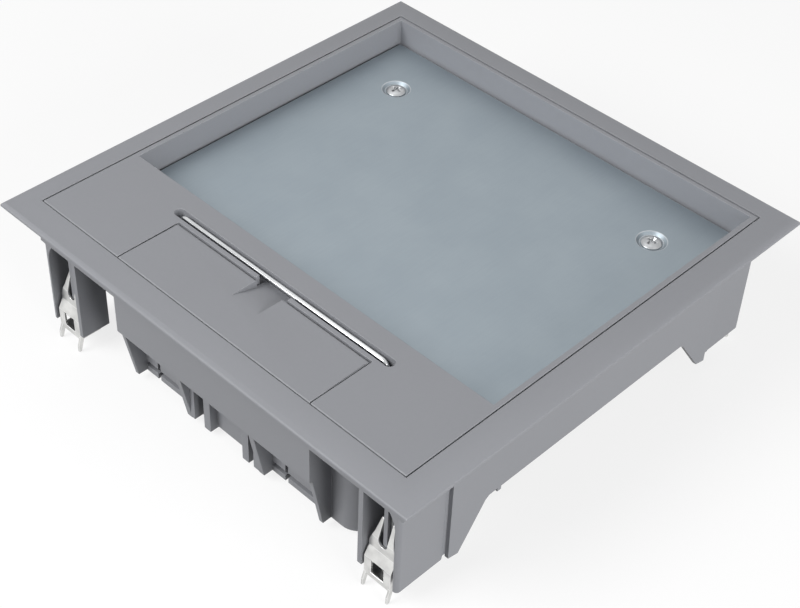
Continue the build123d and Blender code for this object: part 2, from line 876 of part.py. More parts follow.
def notch_shell():
    # The notch's sloping floor, which runs on below the wire, and the walls that hang it
    # from the flap.
    width = around(0, 2 * notch_half + 2 * notch_wall)
    deep = notch_floor_z(notch_rear)
    floor = [
        (notch_front, top_z),
        (notch_rear, deep),
        (notch_rear, deep - notch_wall),
        (notch_front, top_z - notch_wall),
    ]
    wall_top = flap_under + notch_wall
    walls = [
        (notch_front, wall_top),
        (flap_rear_y, wall_top),
        (flap_rear_y, notch_floor_z(flap_rear_y) - notch_wall),
        (notch_front, flap_under),
    ]
    return plate_along_x(floor, width) + plate_along_x(walls, width)


def notch_room():
    rear = notch_rear + cut_past
    high = top_z + cut_past
    ramp = [(notch_front, top_z), (rear, notch_floor_z(rear)), (rear, high), (notch_front, high)]
    return plate_along_x(ramp, around(0, 2 * notch_half))


def cord_flap_foam():
    front = foam_inset - lid_half
    height = (flap_under - foam_height, flap_under)
    return block(around(0, 2 * foam_half), (front, front + foam_width), height)


# Wire handle

def bail_handle():
    route = FilletPolyline(
        (-leg_x, slot_y, leg_bottom),
        (-leg_x, slot_y, wire_z),
        (leg_x, slot_y, wire_z),
        (leg_x, slot_y, leg_bottom),
        radius=wire_bend_radius,
    )
    start = Plane(origin=(-leg_x, slot_y, leg_bottom), z_dir=(0, 0, 1))
    return sweep(start * Circle(wire_radius), path=route)


def bail_stop_rings():
    height = (ring_top - stop_ring_thickness, ring_top)
    rings = [ring(x, slot_y, height, stop_ring_radius, wire_radius) for x in (-leg_x, leg_x)]
    return Compound(children=rings)


# Pads on the ledge

def lid_rest_pads():
    pads = []
    middle_x = open_half - ledge_width / 2
    height = (ledge_top - pad_sink, lid_bottom - running_gap)
    for y in (-pad_y, pad_y):
        pad = block(around(middle_x, pad_width), around(y, pad_length), height)
        pads += [pad, pad.mirror(Plane.YZ)]
    return pads


# Device cups and what they hold, made for the middle cup and placed in all three

def device_cup():
    outside = block(around(0, cup_width), (cup_front, cup_rear), (-cup_bottom, -cup_rim_depth))
    inside_y = around(cup_middle, cup_inner_length)
    inside = block(around(0, cup_inner_width), inside_y, (cup_wall - cup_bottom, 0))
    body = outside - inside
    ear_low = rail_ledge_thickness - rail_bottom
    ear_z = (ear_low, ear_low + cup_ear_thickness)
    front_ear = (front_rail_y + seat_gap, cup_front + cup_wall)
    rear_ear = (cup_rear - cup_wall, rear_rail_y - seat_gap)
    body += block(around(0, cup_ear_width), front_ear, ear_z)
    body += block(around(0, cup_ear_width), rear_ear, ear_z)
    for x_side in (-1, 1):
        for y_side in (-1, 1):
            x = x_side * (cup_inner_width - cup_post) / 2
            y = cup_middle + y_side * (cup_inner_length - cup_post) / 2
            body += block(around(x, cup_post), around(y, cup_post), (-cup_bottom, carrier_under))
    return body


def carrier_plate():
    size_x = cup_inner_width - 2 * drop_in_gap
    size_y = cup_inner_length - 2 * drop_in_gap
    body = block(around(0, size_x), around(cup_middle, size_y), (carrier_under, carrier_top))
    hole = module_body + 2 * drop_in_gap
    hole_z = (carrier_under - cut_past, carrier_top + cut_past)
    for y in module_places():
        body -= block(around(0, hole), around(y, hole), hole_z)
    return body


def module_places():
    return [cup_middle + step * module_pitch for step in (-1, 0, 1)]


def socket_insert():
    body = block(around(0, module_face), around(0, module_face), (carrier_top, face_top))
    body_z = (face_top - module_depth, face_top)
    body += block(around(0, module_body), around(0, module_body), body_z)
    floor = face_top - socket_depth
    body -= upright(0, 0, (floor, face_top + cut_past), socket_radius)
    for x in (-contact_pitch / 2, contact_pitch / 2):
        body -= upright(x, 0, (floor - contact_depth, floor), contact_radius)
    return body


def earth_clip():
    # The rear blade of a socket's pair of earth contacts.
    floor = face_top - socket_depth
    outer = (socket_radius ** 2 - (clip_blade_width / 2) ** 2) ** 0.5
    return block(
        (-clip_blade_width / 2, clip_blade_width / 2),
        (outer - clip_blade_thickness, outer),
        (floor, floor + clip_blade_height),
    )


def earth_clips(cup_x):
    blades = []
    for y in module_places():
        blades.append(Pos(cup_x, y, 0) * earth_clip())
        blades.append(Pos(cup_x, y, 0) * Rot(0, 0, 180) * earth_clip())
    return Compound(children=blades)


def blank_plate():
    body = block(around(0, module_face), around(0, module_face), (carrier_top, face_top))
    leg_z = (carrier_top - blank_leg_length, carrier_top)
    for side in (-1, 1):
        y = side * (module_body - blank_leg_thickness) / 2
        body += block(around(0, blank_leg_width), around(y, blank_leg_thickness), leg_z)
    return body


def main():
    frame = floor_frame()
    pads = lid_rest_pads()
    for pad in pads:
        frame -= pad
    write("floor_frame", frame)
    write("lid_rest_pads", Compound(children=pads))
    for corner in corner_names:
        write(f"claw_{corner}", in_corner(claw(), corner))
        write(f"clamp_screw_{corner}", in_corner(clamp_screw(), corner))
        write(f"screw_clip_{corner}", in_corner(screw_clip(), corner))
    washers = [in_corner(clamp_washer(), corner) for corner in corner_names]
    write("clamp_washers", Compound(children=washers))
    write("lid_frame", lid_frame())
    write("steel_insert_plate", steel_insert_plate())
    write("plate_screws", plate_screws())
    write("lid_hinge_pins", lid_hinge_pins())
    write("cord_flap", cord_flap())
    write("cord_flap_foam", cord_flap_foam())
    write("flap_hinge_pins", flap_hinge_pins())
    write("bail_handle", bail_handle())
    write("bail_stop_rings", bail_stop_rings())
    cups = {"left": -cup_pitch, "middle": 0, "right": cup_pitch}
    for name, x in cups.items():
        write(f"device_cup_{name}", Pos(x, 0, 0) * device_cup())
        write(f"carrier_plate_{name}", Pos(x, 0, 0) * carrier_plate())
    for name in ("left", "middle"):
        for place, y in zip(("front", "centre", "rear"), module_places()):
            write(f"socket_insert_{name}_{place}", Pos(cups[name], y, 0) * socket_insert())
        write(f"earth_clips_{name}", earth_clips(cups[name]))
    blanks = [Pos(cups["right"], y, 0) * blank_plate() for y in module_places()]
    write("blank_plates", Compound(children=blanks))
    print("lid hinge y, z:", hinge_y, hinge_z)
    print("flap pivot y, z:", flap_pivot_y, flap_pivot_z)
    print("clamp screw x, y:", claw_x, screw_y)
    print("lid bottom, ring top, leg bottom:", lid_bottom, ring_top, leg_bottom)
    print("socket face, places:", face_top, module_places())


main()
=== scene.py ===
# %% [markdown]
# # Floor socket box
# A floor socket box is a moulded frame that hangs in a cut-out of a raised floor. Four claws
# grip the cut-out's edge, and a hinged lid with a steel plate closes it flush. This script
# dresses the finished solids of the box: it softens their edges, makes the pieces whose shape
# matters most again in finer meshes, and gives every surface its finish.

# %% Load the frame
import json
import math

import bmesh
import bpy
from mathutils import Matrix, Vector, noise

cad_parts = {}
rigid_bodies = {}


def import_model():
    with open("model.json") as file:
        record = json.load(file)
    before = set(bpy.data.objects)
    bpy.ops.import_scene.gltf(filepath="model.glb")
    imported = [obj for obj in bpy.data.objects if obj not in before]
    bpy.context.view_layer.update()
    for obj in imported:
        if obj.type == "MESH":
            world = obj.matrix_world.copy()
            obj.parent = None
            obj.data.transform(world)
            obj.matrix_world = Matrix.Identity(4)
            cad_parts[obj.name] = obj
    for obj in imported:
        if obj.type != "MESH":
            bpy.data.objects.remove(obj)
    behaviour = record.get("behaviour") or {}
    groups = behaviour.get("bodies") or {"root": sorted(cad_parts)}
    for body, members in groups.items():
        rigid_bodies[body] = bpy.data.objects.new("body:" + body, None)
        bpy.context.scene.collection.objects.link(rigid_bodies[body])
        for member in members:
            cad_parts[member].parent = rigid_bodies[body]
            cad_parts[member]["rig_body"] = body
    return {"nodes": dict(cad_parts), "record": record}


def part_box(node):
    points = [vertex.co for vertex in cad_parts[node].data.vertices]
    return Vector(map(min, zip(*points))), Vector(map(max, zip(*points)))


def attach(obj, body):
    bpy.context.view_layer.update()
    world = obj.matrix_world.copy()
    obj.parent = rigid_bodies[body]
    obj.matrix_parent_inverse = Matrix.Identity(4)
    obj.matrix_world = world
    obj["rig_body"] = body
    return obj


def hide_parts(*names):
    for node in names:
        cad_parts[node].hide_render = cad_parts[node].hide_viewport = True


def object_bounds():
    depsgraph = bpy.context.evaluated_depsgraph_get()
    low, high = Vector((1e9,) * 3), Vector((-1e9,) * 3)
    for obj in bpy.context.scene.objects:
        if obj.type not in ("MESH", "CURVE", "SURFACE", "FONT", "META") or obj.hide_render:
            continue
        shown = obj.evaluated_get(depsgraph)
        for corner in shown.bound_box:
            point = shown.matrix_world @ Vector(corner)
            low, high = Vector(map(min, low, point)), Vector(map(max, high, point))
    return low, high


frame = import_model()
cad_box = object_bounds()
mm = 0.001
corners = ("front_right", "front_left", "rear_left", "rear_right")
print("CAD nodes:", len(frame["nodes"]))

# %% [markdown]
# ## Camera
# The box is seen from the right of its cord flap, from 42 degrees above the floor, with a
# lens a little longer than normal. The camera is described the way a photographer would set
# it: the point it aims at, its distance, its height as an angle, and a slight roll.

# %% Camera
camera_aim = Vector((42.6, -45.05, 0)) * mm
camera_distance = 714.1 * mm
camera_azimuth = math.radians(42.954)
camera_elevation = math.radians(41.889)
camera_roll = math.radians(2.612)
camera_lens = 73.38


def make_camera():
    turn = Matrix.Rotation(camera_azimuth, 4, "Z")
    tilt = Matrix.Rotation(math.pi / 2 - camera_elevation, 4, "X")
    roll = Matrix.Rotation(camera_roll, 4, "Z")
    aim = turn @ tilt @ roll
    data = bpy.data.cameras.new("camera")
    data.lens = camera_lens
    camera = bpy.data.objects.new("camera", data)
    place = camera_aim + aim.to_3x3() @ Vector((0, 0, camera_distance))
    camera.matrix_world = Matrix.Translation(place) @ aim
    bpy.context.collection.objects.link(camera)
    bpy.context.scene.camera = camera
    return camera


camera = make_camera()
print("camera at", [round(v, 3) for v in camera.location])

# %% [markdown]
# ## Node helpers
# The room, the floor and every finish are made of shader nodes. An input of a node holds
# either a fixed value or a link from another node's output. The helpers below take both
# kinds, so that each node is a single line further on. A Mix node lists the inputs of all its
# data types in a row, so the ones for colours are named here by their places.

# %% Node helpers
mix_inputs = (0, 6, 7)
mix_output = 2


def feed(tree, socket, value):
    """Gives an input either a fixed value or a link from another node's output."""
    if isinstance(value, bpy.types.NodeSocket):
        tree.links.new(value, socket)
    else:
        socket.default_value = value


def math_node(tree, operation, *values):
    node = tree.nodes.new("ShaderNodeMath")
    node.operation = operation
    for socket, value in zip(node.inputs, values):
        feed(tree, socket, value)
    return node.outputs[0]


def spread(tree, value, low, high):
    """Maps a value of 0 to 1 to the range from low to high."""
    ramp = tree.nodes.new("ShaderNodeMapRange")
    feed(tree, ramp.inputs["Value"], value)
    feed(tree, ramp.inputs["To Min"], low)
    feed(tree, ramp.inputs["To Max"], high)
    return ramp.outputs[0]


def colour_mix(tree, blend, *values):
    """Mixes two colours: the values are the factor, the first colour and the second."""
    mix = tree.nodes.new("ShaderNodeMix")
    mix.data_type = "RGBA"
    mix.blend_type = blend
    for place, value in zip(mix_inputs, values):
        feed(tree, mix.inputs[place], value)
    return mix.outputs[mix_output]


def noise_texture(tree, coordinates, scale, detail):
    texture = tree.nodes.new("ShaderNodeTexNoise")
    texture.inputs["Detail"].default_value = detail
    feed(tree, texture.inputs["Vector"], coordinates)
    feed(tree, texture.inputs["Scale"], scale)
    return texture.outputs["Fac"]


def seen_rays(tree):
    """Gives 1 to rays that show a surface to the camera, and 0 to rays that light one."""
    path = tree.nodes.new("ShaderNodeLightPath").outputs
    seen = math_node(tree, "MAXIMUM", path["Is Camera Ray"], path["Is Glossy Ray"])
    return math_node(tree, "MAXIMUM", seen, path["Is Transmission Ray"])


print("node helpers ready")

# %% [markdown]
# ## Light
# The object was lit by two large soft lights, one before the cord flap and one at its right,
# so the outside walls are about as bright as the level surfaces and the hollows are much
# darker. A weak third lamp at the left adds a soft sheen to the steel plate. The room looks
# white to the camera and in reflections, but it lights the object only a little, so that
# pale colours don't clip.

# %% Light
scene = bpy.context.scene
scene.view_settings.view_transform = "Standard"
room_light = 0.1
lamps = (
    {"name": "front_lamp", "place": (-0.42, -1.15, 1.05), "width": 0.9, "power": 24.0},
    {"name": "right_lamp", "place": (1.6, -0.1, 0.45), "width": 1.0, "power": 24.0},
    {"name": "left_lamp", "place": (-0.52, 0.26, 1.16), "width": 0.8, "power": 1.2},
)


def make_lamp(name, place, width, power):
    """A square lamp that faces the middle of the box."""
    data = bpy.data.lights.new(name, "AREA")
    data.size = width
    data.energy = power
    lamp = bpy.data.objects.new(name, data)
    lamp.location = place
    lamp.rotation_euler = Vector(place).to_track_quat("Z", "Y").to_euler()
    bpy.context.collection.objects.link(lamp)


def make_room():
    world = bpy.data.worlds.new("white_room")
    world.use_nodes = True
    tree = world.node_tree
    background = tree.nodes["Background"]
    background.inputs["Color"].default_value = (1, 1, 1, 1)
    feed(tree, background.inputs["Strength"], spread(tree, seen_rays(tree), room_light, 1.0))
    scene.world = world


for lamp in lamps:
    make_lamp(**lamp)
make_room()
print("lamps:", len(lamps))

# %% [markdown]
# ## Floor
# The box stands on the feet of its claws on a plain pale floor. To the camera the floor is
# mostly a soft glow, and the rest is a diffuse surface, so that a faint shadow stays.

# %% Floor
floor_size = 3.0
floor_drop = 0.2 * mm
floor_glow = 0.8
floor_colour = (0.2, 0.2, 0.2, 1)


def floor_material():
    material = bpy.data.materials.new("pale_floor")
    material.use_nodes = True
    tree = material.node_tree
    shader = tree.nodes["Principled BSDF"]
    shader.inputs["Base Color"].default_value = floor_colour
    shader.inputs["Roughness"].default_value = 1.0
    shader.inputs["Specular IOR Level"].default_value = 0.0
    shader.inputs["Emission Color"].default_value = (1, 1, 1, 1)
    glow = math_node(tree, "MULTIPLY", seen_rays(tree), floor_glow)
    feed(tree, shader.inputs["Emission Strength"], glow)
    return material


def make_floor():
    height = cad_box[0][2] - floor_drop
    bm = bmesh.new()
    bmesh.ops.create_grid(bm, x_segments=1, y_segments=1, size=floor_size / 2)
    bmesh.ops.translate(bm, verts=bm.verts, vec=(0, 0, height))
    mesh = bpy.data.meshes.new("floor")
    bm.to_mesh(mesh)
    bm.free()
    mesh.materials.append(floor_material())
    floor = bpy.data.objects.new("floor", mesh)
    bpy.context.collection.objects.link(floor)
    return height


print("floor at z =", round(make_floor(), 4))

# %% [markdown]
# ## Shader groups
# Several materials share the same effects, so each effect is a node group with named inputs.
# The first is a painted highlight: a lighter colour along each moulded or sheared edge, which
# stands in for the light that the edge's small radius catches. It reads an attribute named
# edge, which the mesh helper below sets on the small faces of each softened edge. A noise
# makes the painted highlight a little uneven.

# %% Group for painted edge highlights
# The noise below makes the painted edge highlight patchy.
highlight_noise_scale = 160.0
highlight_noise_detail = 3.0
least_highlight = 0.4
most_highlight = 1.3


def new_group(name, inputs, outputs):
    group = bpy.data.node_groups.new(name, "ShaderNodeTree")
    for label, kind, value in inputs:
        socket = group.interface.new_socket(name=label, in_out="INPUT", socket_type=kind)
        socket.default_value = value
    for label, kind in outputs:
        group.interface.new_socket(name=label, in_out="OUTPUT", socket_type=kind)
    given = group.nodes.new("NodeGroupInput").outputs
    result = group.nodes.new("NodeGroupOutput").inputs
    coordinates = group.nodes.new("ShaderNodeTexCoord").outputs["Object"]
    return group, given, result, coordinates


def painted_highlight_group():
    inputs = [
        ("Colour", "NodeSocketColor", (0.5, 0.5, 0.5, 1)),
        ("Highlight colour", "NodeSocketColor", (0.7, 0.7, 0.7, 1)),
        ("Amount", "NodeSocketFloat", 0.5),
    ]
    outputs = [("Colour", "NodeSocketColor")]
    group, given, result, coordinates = new_group("painted_edge_highlight", inputs, outputs)
    # Painted highlight: the marked edge faces are mixed towards a lighter colour.
    edge = group.nodes.new("ShaderNodeAttribute")
    edge.attribute_name = "edge"
    highlight_noise = noise_texture(group, coordinates, highlight_noise_scale, highlight_noise_detail)
    patchy = spread(group, highlight_noise, least_highlight, most_highlight)
    share = math_node(group, "MULTIPLY", edge.outputs["Fac"], patchy)
    amount = math_node(group, "MULTIPLY", share, given["Amount"])
    amount.node.use_clamp = True
    colour = colour_mix(group, "MIX", amount, given["Colour"], given["Highlight colour"])
    feed(group, result["Colour"], colour)
    return group


painted_edge_highlight = painted_highlight_group()
print("group:", painted_edge_highlight.name)

# %% [markdown]
# ## Moulded grain
# The grey plastic comes out of a spark-eroded mould, so it has a fine even grain that breaks
# up reflections. Two larger noises shift the tone a little, as flow in the mould does. The
# group gives the colour, the roughness and a height for the bump.

# %% Group for moulded grain
surface_outputs = [
    ("Colour", "NodeSocketColor"),
    ("Roughness", "NodeSocketFloat"),
    ("Height", "NodeSocketFloat"),
]
grain_detail = 2.0
flow_scale = 14.0
flow_detail = 4.0
flow_share = 0.65
speck_scale = 700.0
speck_detail = 2.0


def mould_grain_group():
    inputs = [
        ("Colour", "NodeSocketColor", (0.27, 0.28, 0.3, 1)),
        ("Grain scale", "NodeSocketFloat", 2200.0),
        ("Tone shift", "NodeSocketFloat", 0.05),
        ("Smoothest", "NodeSocketFloat", 0.45),
        ("Roughest", "NodeSocketFloat", 0.6),
    ]
    group, given, result, coordinates = new_group("mould_grain", inputs, surface_outputs)
    grain = noise_texture(group, coordinates, given["Grain scale"], grain_detail)
    flow = noise_texture(group, coordinates, flow_scale, flow_detail)
    specks = noise_texture(group, coordinates, speck_scale, speck_detail)
    speck_part = spread(group, specks, 0.0, 1 - flow_share)
    both = math_node(group, "MULTIPLY_ADD", flow, flow_share, speck_part)
    darkest = math_node(group, "SUBTRACT", 1.0, given["Tone shift"])
    lightest = math_node(group, "ADD", 1.0, given["Tone shift"])
    tone = spread(group, both, darkest, lightest)
    feed(group, result["Colour"], colour_mix(group, "MULTIPLY", 1.0, given["Colour"], tone))
    feed(group, result["Roughness"], spread(group, grain, given["Smoothest"], given["Roughest"]))
    feed(group, result["Height"], grain)
    return group


mould_grain = mould_grain_group()
print("group:", mould_grain.name)

# %% [markdown]
# ## Metal with a drawn or rolled surface
# Wire, sheet and screws come from drawing and rolling, which leaves fine lines one way. The
# group stretches a noise by a different factor along each axis, and mixes a cloudy noise in
# for the plating. The same group serves bright wire and dull screws by other input values.

# %% Group for worked metal
line_detail = 3.0
cloud_detail = 5.0
cloud_contrast = (0.35, 0.65)


def worked_metal_group():
    inputs = [
        ("Colour", "NodeSocketColor", (0.6, 0.6, 0.6, 1)),
        ("Cloud colour", "NodeSocketColor", (0.5, 0.5, 0.5, 1)),
        ("Cloud scale", "NodeSocketFloat", 60.0),
        ("Stretch", "NodeSocketVector", (40.0, 900.0, 900.0)),
        ("Smoothest", "NodeSocketFloat", 0.2),
        ("Roughest", "NodeSocketFloat", 0.4),
    ]
    group, given, result, coordinates = new_group("worked_metal", inputs, surface_outputs)
    stretched = group.nodes.new("ShaderNodeVectorMath")
    stretched.operation = "MULTIPLY"
    feed(group, stretched.inputs[0], coordinates)
    feed(group, stretched.inputs[1], given["Stretch"])
    lines = noise_texture(group, stretched.outputs[0], 1.0, line_detail)
    clouds = noise_texture(group, coordinates, given["Cloud scale"], cloud_detail)
    sharp_clouds = spread(group, clouds, 0.0, 1.0)
    for label, value in zip(("From Min", "From Max"), cloud_contrast):
        sharp_clouds.node.inputs[label].default_value = value
    colour = colour_mix(group, "MIX", sharp_clouds, given["Colour"], given["Cloud colour"])
    feed(group, result["Colour"], colour)
    feed(group, result["Roughness"], spread(group, lines, given["Smoothest"], given["Roughest"]))
    feed(group, result["Height"], lines)
    return group


worked_metal = worked_metal_group()
print("group:", worked_metal.name)

# %% [markdown]
# ## Materials
# Every material has the same skeleton: one surface group gives colour, roughness and height,
# the highlight group paints a lighter colour on the softened edges as a painted highlight, and
# a Bump node turns the height into a normal.
# What differs between finishes is only a set of values, so one helper builds them all.

# %% Material helper
finishes = {}


def make_finish(slot, surface, values, highlight_colour, highlight_amount, bump, bump_depth, metallic=0.0):
    material = bpy.data.materials.new(slot)
    material.use_nodes = True
    tree = material.node_tree
    shader = tree.nodes["Principled BSDF"]
    shader.inputs["Metallic"].default_value = metallic
    look = tree.nodes.new("ShaderNodeGroup")
    look.node_tree = surface
    for label, value in values.items():
        look.inputs[label].default_value = value
    # Painted highlight: this group lightens the softened edges to stand in for light on their radius.
    edges = tree.nodes.new("ShaderNodeGroup")
    edges.node_tree = painted_edge_highlight
    edges.inputs["Highlight colour"].default_value = highlight_colour
    edges.inputs["Amount"].default_value = highlight_amount
    relief = tree.nodes.new("ShaderNodeBump")
    relief.inputs["Strength"].default_value = bump
    relief.inputs["Distance"].default_value = bump_depth
    feed(tree, edges.inputs["Colour"], look.outputs["Colour"])
    feed(tree, shader.inputs["Base Color"], edges.outputs["Colour"])
    feed(tree, shader.inputs["Roughness"], look.outputs["Roughness"])
    feed(tree, relief.inputs["Height"], look.outputs["Height"])
    feed(tree, shader.inputs["Normal"], relief.outputs["Normal"])
    finishes[slot] = material


def grey(value, blue=0.0):
    """A grey whose blue is stronger by the given share."""
    return (value, value * (1 + blue / 2), value * (1 + blue), 1)


print("material helper ready")

# %% [markdown]
# ## Plastics
# The frame, the lid and the flap are the same mid-grey plastic. The cups and carriers below
# the lid are nearly black, and the socket inserts are glossy white. Rubber and foam are
# rougher and coarser versions of the same grain.

# %% Plastics
def plastic_finishes():
    # The second colour given to each finish is the painted highlight for its softened edges.
    shell = {"Colour": (0.262, 0.268, 0.288, 1), "Tone shift": 0.05}
    for slot in ("frame_plastic", "lid_plastic", "flap_plastic"):
        make_finish(slot, mould_grain, shell, grey(0.36, 0.06), 0.35, bump=0.25, bump_depth=0.12 * mm)
    cup = {"Colour": grey(0.055, 0.1), "Smoothest": 0.4, "Roughest": 0.6}
    make_finish("cup_plastic", mould_grain, cup, grey(0.1, 0.1), 0.5, bump=0.3, bump_depth=0.12 * mm)
    carrier = {"Colour": grey(0.075, 0.1), "Smoothest": 0.35, "Roughest": 0.5}
    carrier_highlight = grey(0.12, 0.1)
    make_finish("carrier_plastic", mould_grain, carrier, carrier_highlight, 0.5, bump=0.3, bump_depth=0.1 * mm)
    white = {"Colour": (0.76, 0.76, 0.74, 1), "Smoothest": 0.18, "Roughest": 0.26, "Tone shift": 0.02}
    white_highlight = (0.82, 0.82, 0.81, 1)
    make_finish("socket_plastic", mould_grain, white, white_highlight, 0.4, bump=0.06, bump_depth=0.05 * mm)
    rubber = {"Colour": grey(0.03), "Smoothest": 0.7, "Roughest": 0.9, "Grain scale": 900.0}
    make_finish("rest_pad", mould_grain, rubber, grey(0.05), 0.4, bump=0.5, bump_depth=0.2 * mm)
    foam = {"Colour": grey(0.028), "Smoothest": 0.9, "Roughest": 1.0, "Grain scale": 1500.0}
    make_finish("foam", mould_grain, foam, grey(0.05), 0.3, bump=1.0, bump_depth=0.6 * mm)


plastic_finishes()
print("plastics:", len(finishes))

# %% [markdown]
# ## Metals
# The plate is galvanised sheet: dull, bluish and cloudy, and only partly metallic because its
# zinc has oxidised. The handle is bright drawn wire, the claws are bare spring steel, and the
# screws are zinc plated. The earth contacts are rolled brass strip.

# %% Metals
def metal_finishes():
    # The colour after each value set is the painted highlight for the finish's softened edges.
    sheet = {
        "Colour": (0.285, 0.33, 0.365, 1),
        "Cloud colour": (0.305, 0.35, 0.384, 1),
        "Cloud scale": 34.0,
        "Stretch": (900.0, 45.0, 900.0),
        "Smoothest": 0.42,
        "Roughest": 0.55,
    }
    make_finish("zinc_plate", worked_metal, sheet, grey(0.6, 0.05), 0.7, 0.12, 0.08 * mm, metallic=0.75)
    screw = {
        "Colour": (0.5, 0.51, 0.52, 1),
        "Cloud colour": (0.38, 0.39, 0.4, 1),
        "Cloud scale": 260.0,
        "Stretch": (500.0, 500.0, 500.0),
        "Smoothest": 0.25,
        "Roughest": 0.42,
    }
    make_finish("screw_steel", worked_metal, screw, grey(0.7), 0.6, 0.15, 0.05 * mm, metallic=1.0)
    wire = {
        "Colour": (0.62, 0.63, 0.64, 1),
        "Cloud colour": (0.55, 0.56, 0.57, 1),
        "Cloud scale": 90.0,
        "Stretch": (30.0, 2400.0, 2400.0),
        "Smoothest": 0.12,
        "Roughest": 0.22,
    }
    make_finish("handle_wire", worked_metal, wire, grey(0.7), 0.2, 0.1, 0.03 * mm, metallic=1.0)
    claw = {
        "Colour": (0.72, 0.72, 0.705, 1),
        "Cloud colour": (0.56, 0.56, 0.55, 1),
        "Cloud scale": 150.0,
        "Stretch": (900.0, 900.0, 60.0),
        "Smoothest": 0.24,
        "Roughest": 0.42,
    }
    make_finish("claw_steel", worked_metal, claw, grey(0.92), 0.6, 0.15, 0.05 * mm, metallic=1.0)
    brass = {
        "Colour": (0.62, 0.47, 0.2, 1),
        "Cloud colour": (0.5, 0.38, 0.17, 1),
        "Cloud scale": 240.0,
        "Stretch": (900.0, 900.0, 120.0),
        "Smoothest": 0.2,
        "Roughest": 0.35,
    }
    brass_highlight = (0.8, 0.66, 0.36, 1)
    make_finish("contact_brass", worked_metal, brass, brass_highlight, 0.5, 0.1, 0.04 * mm, metallic=1.0)


metal_finishes()
print("finishes:", sorted(finishes))

# %% [markdown]
# ## Pieces
# Each piece rides on the moving body that its solid belongs to, carries one finish, and takes
# the place of the solid that it was made from. Smooth shading with weighted normals keeps the
# large faces flat and lets only the small rounded edges bend the light.

# %% Helpers for pieces
slot_of = {row["node"]: row["material_slot"] for row in frame["record"]["subparts"]}
merge_distance = 0.001 * mm
large_face_weight = 80


def body_of_node(node):
    return frame["nodes"][node]["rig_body"]


def new_piece(name, bm, nodes, slot=None, body=None):
    """Makes a bmesh into a piece that rides on the body of the first node it stands for."""
    mesh = bpy.data.meshes.new(name)
    bm.to_mesh(mesh)
    bm.free()
    mesh.shade_smooth()
    piece = bpy.data.objects.new(name, mesh)
    bpy.context.collection.objects.link(piece)
    slot = slot or slot_of[nodes[0]]
    mesh.materials.append(finishes[slot])
    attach(piece, body or body_of_node(nodes[0]))
    if nodes:
        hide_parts(*nodes)
    return piece


def even_shading(piece):
    weighted = piece.modifiers.new("even_shading", "WEIGHTED_NORMAL")
    weighted.keep_sharp = True
    weighted.weight = large_face_weight


print("piece helpers ready")

# %% [markdown]
# ## Softened copies
# The solids have knife-sharp edges, while a moulding or a sheared sheet has a small radius
# that catches a thin line of light. The helper copies a solid's mesh, merges its loose
# triangles, bevels each sharp edge, and marks the new faces as edge. A flat area stays in
# well-shaped triangles, because one large face with a notch or a hole can fold over itself
# when its corners move in the bevel. Only two triangles that make a rectangle are joined.

# %% Softened copies
flat_limit = math.radians(0.5)
moulding_sharp = 25.0
turned_sharp = 40.0


def soften(bm, radius, segments=2, sharp=moulding_sharp):
    """Bevels every edge that turns by more than sharp degrees, and marks the new faces."""
    # The faces marked as edge get the painted edge highlight in their material.
    mark = bm.faces.layers.float.get("edge") or bm.faces.layers.float.new("edge")
    limit = math.radians(sharp)
    edges = [e for e in bm.edges if len(e.link_faces) == 2 and e.calc_face_angle(0.0) > limit]
    made = bmesh.ops.bevel(
        bm,
        geom=edges,
        offset=radius,
        segments=segments,
        profile=0.5,
        affect="EDGES",
        clamp_overlap=False,
        material=-1,
    )
    for face in made["faces"]:
        face[mark] = 1.0


def is_flat(edge):
    return len(edge.link_faces) == 2 and edge.calc_face_angle(math.pi) < flat_limit


def flat_patches(bm):
    """Groups the faces that lie in one plane and touch."""
    seen = set()
    patches = []
    for start in bm.faces:
        if start in seen:
            continue
        seen.add(start)
        patch = [start]
        for face in patch:
            beside = [near for edge in face.edges if is_flat(edge) for near in edge.link_faces]
            for near in beside:
                if near not in seen:
                    seen.add(near)
                    patch.append(near)
        patches.append(patch)
    return patches


def solid_mesh(node):
    """A merged copy of a node's triangles, with well-shaped triangles on its flat areas."""
    bm = bmesh.new()
    bm.from_mesh(frame["nodes"][node].data)
    for layer in list(bm.loops.layers.uv):
        bm.loops.layers.uv.remove(layer)
    bmesh.ops.remove_doubles(bm, verts=bm.verts, dist=merge_distance)
    patches = flat_patches(bm)
    inner = [edge for edge in bm.edges if is_flat(edge)]
    large = [face for patch in patches if len(patch) > 2 for face in patch]
    bmesh.ops.beautify_fill(bm, faces=large, edges=inner, method="ANGLE")
    for patch in patches:
        if len(patch) == 2:
            bmesh.ops.dissolve_faces(bm, faces=patch, use_verts=True)
    return bm


def softened(node, radius, segments=2, sharp=moulding_sharp):
    bm = solid_mesh(node)
    soften(bm, radius, segments, sharp)
    piece = new_piece(f"{node}_surface", bm, [node])
    even_shading(piece)
    return piece


print("softening helpers ready")

# %% [markdown]
# ## Mouldings
# The frame, the lid and the flap are the largest mouldings. Their edges have a radius of a
# sixth of a millimetre, which is enough for the fine light lines beside each gap: the radius
# catches real light, and its faces also carry the painted edge highlight. Only the
# flange's outer rim is rounder, because people walk over it.

# %% Frame, lid and flap
moulded_edge = 0.16 * mm
rim_round = 0.6 * mm
rim_segments = 4
outline_slack = 0.01 * mm


def round_outer_rim(bm):
    """Rounds the flange's upper rim, whose edges lie on the outline of the whole box."""
    reach = cad_box[1][0] - outline_slack
    rim = []
    for edge in bm.edges:
        first, second = (vert.co for vert in edge.verts)
        along = any(abs(first[axis]) > reach and abs(second[axis]) > reach for axis in (0, 1))
        if along and min(first.z, second.z) > rim_round:
            rim.append(edge)
    bmesh.ops.bevel(
        bm,
        geom=rim,
        offset=rim_round,
        segments=rim_segments,
        profile=0.5,
        affect="EDGES",
        material=-1,
    )
    return len(rim)


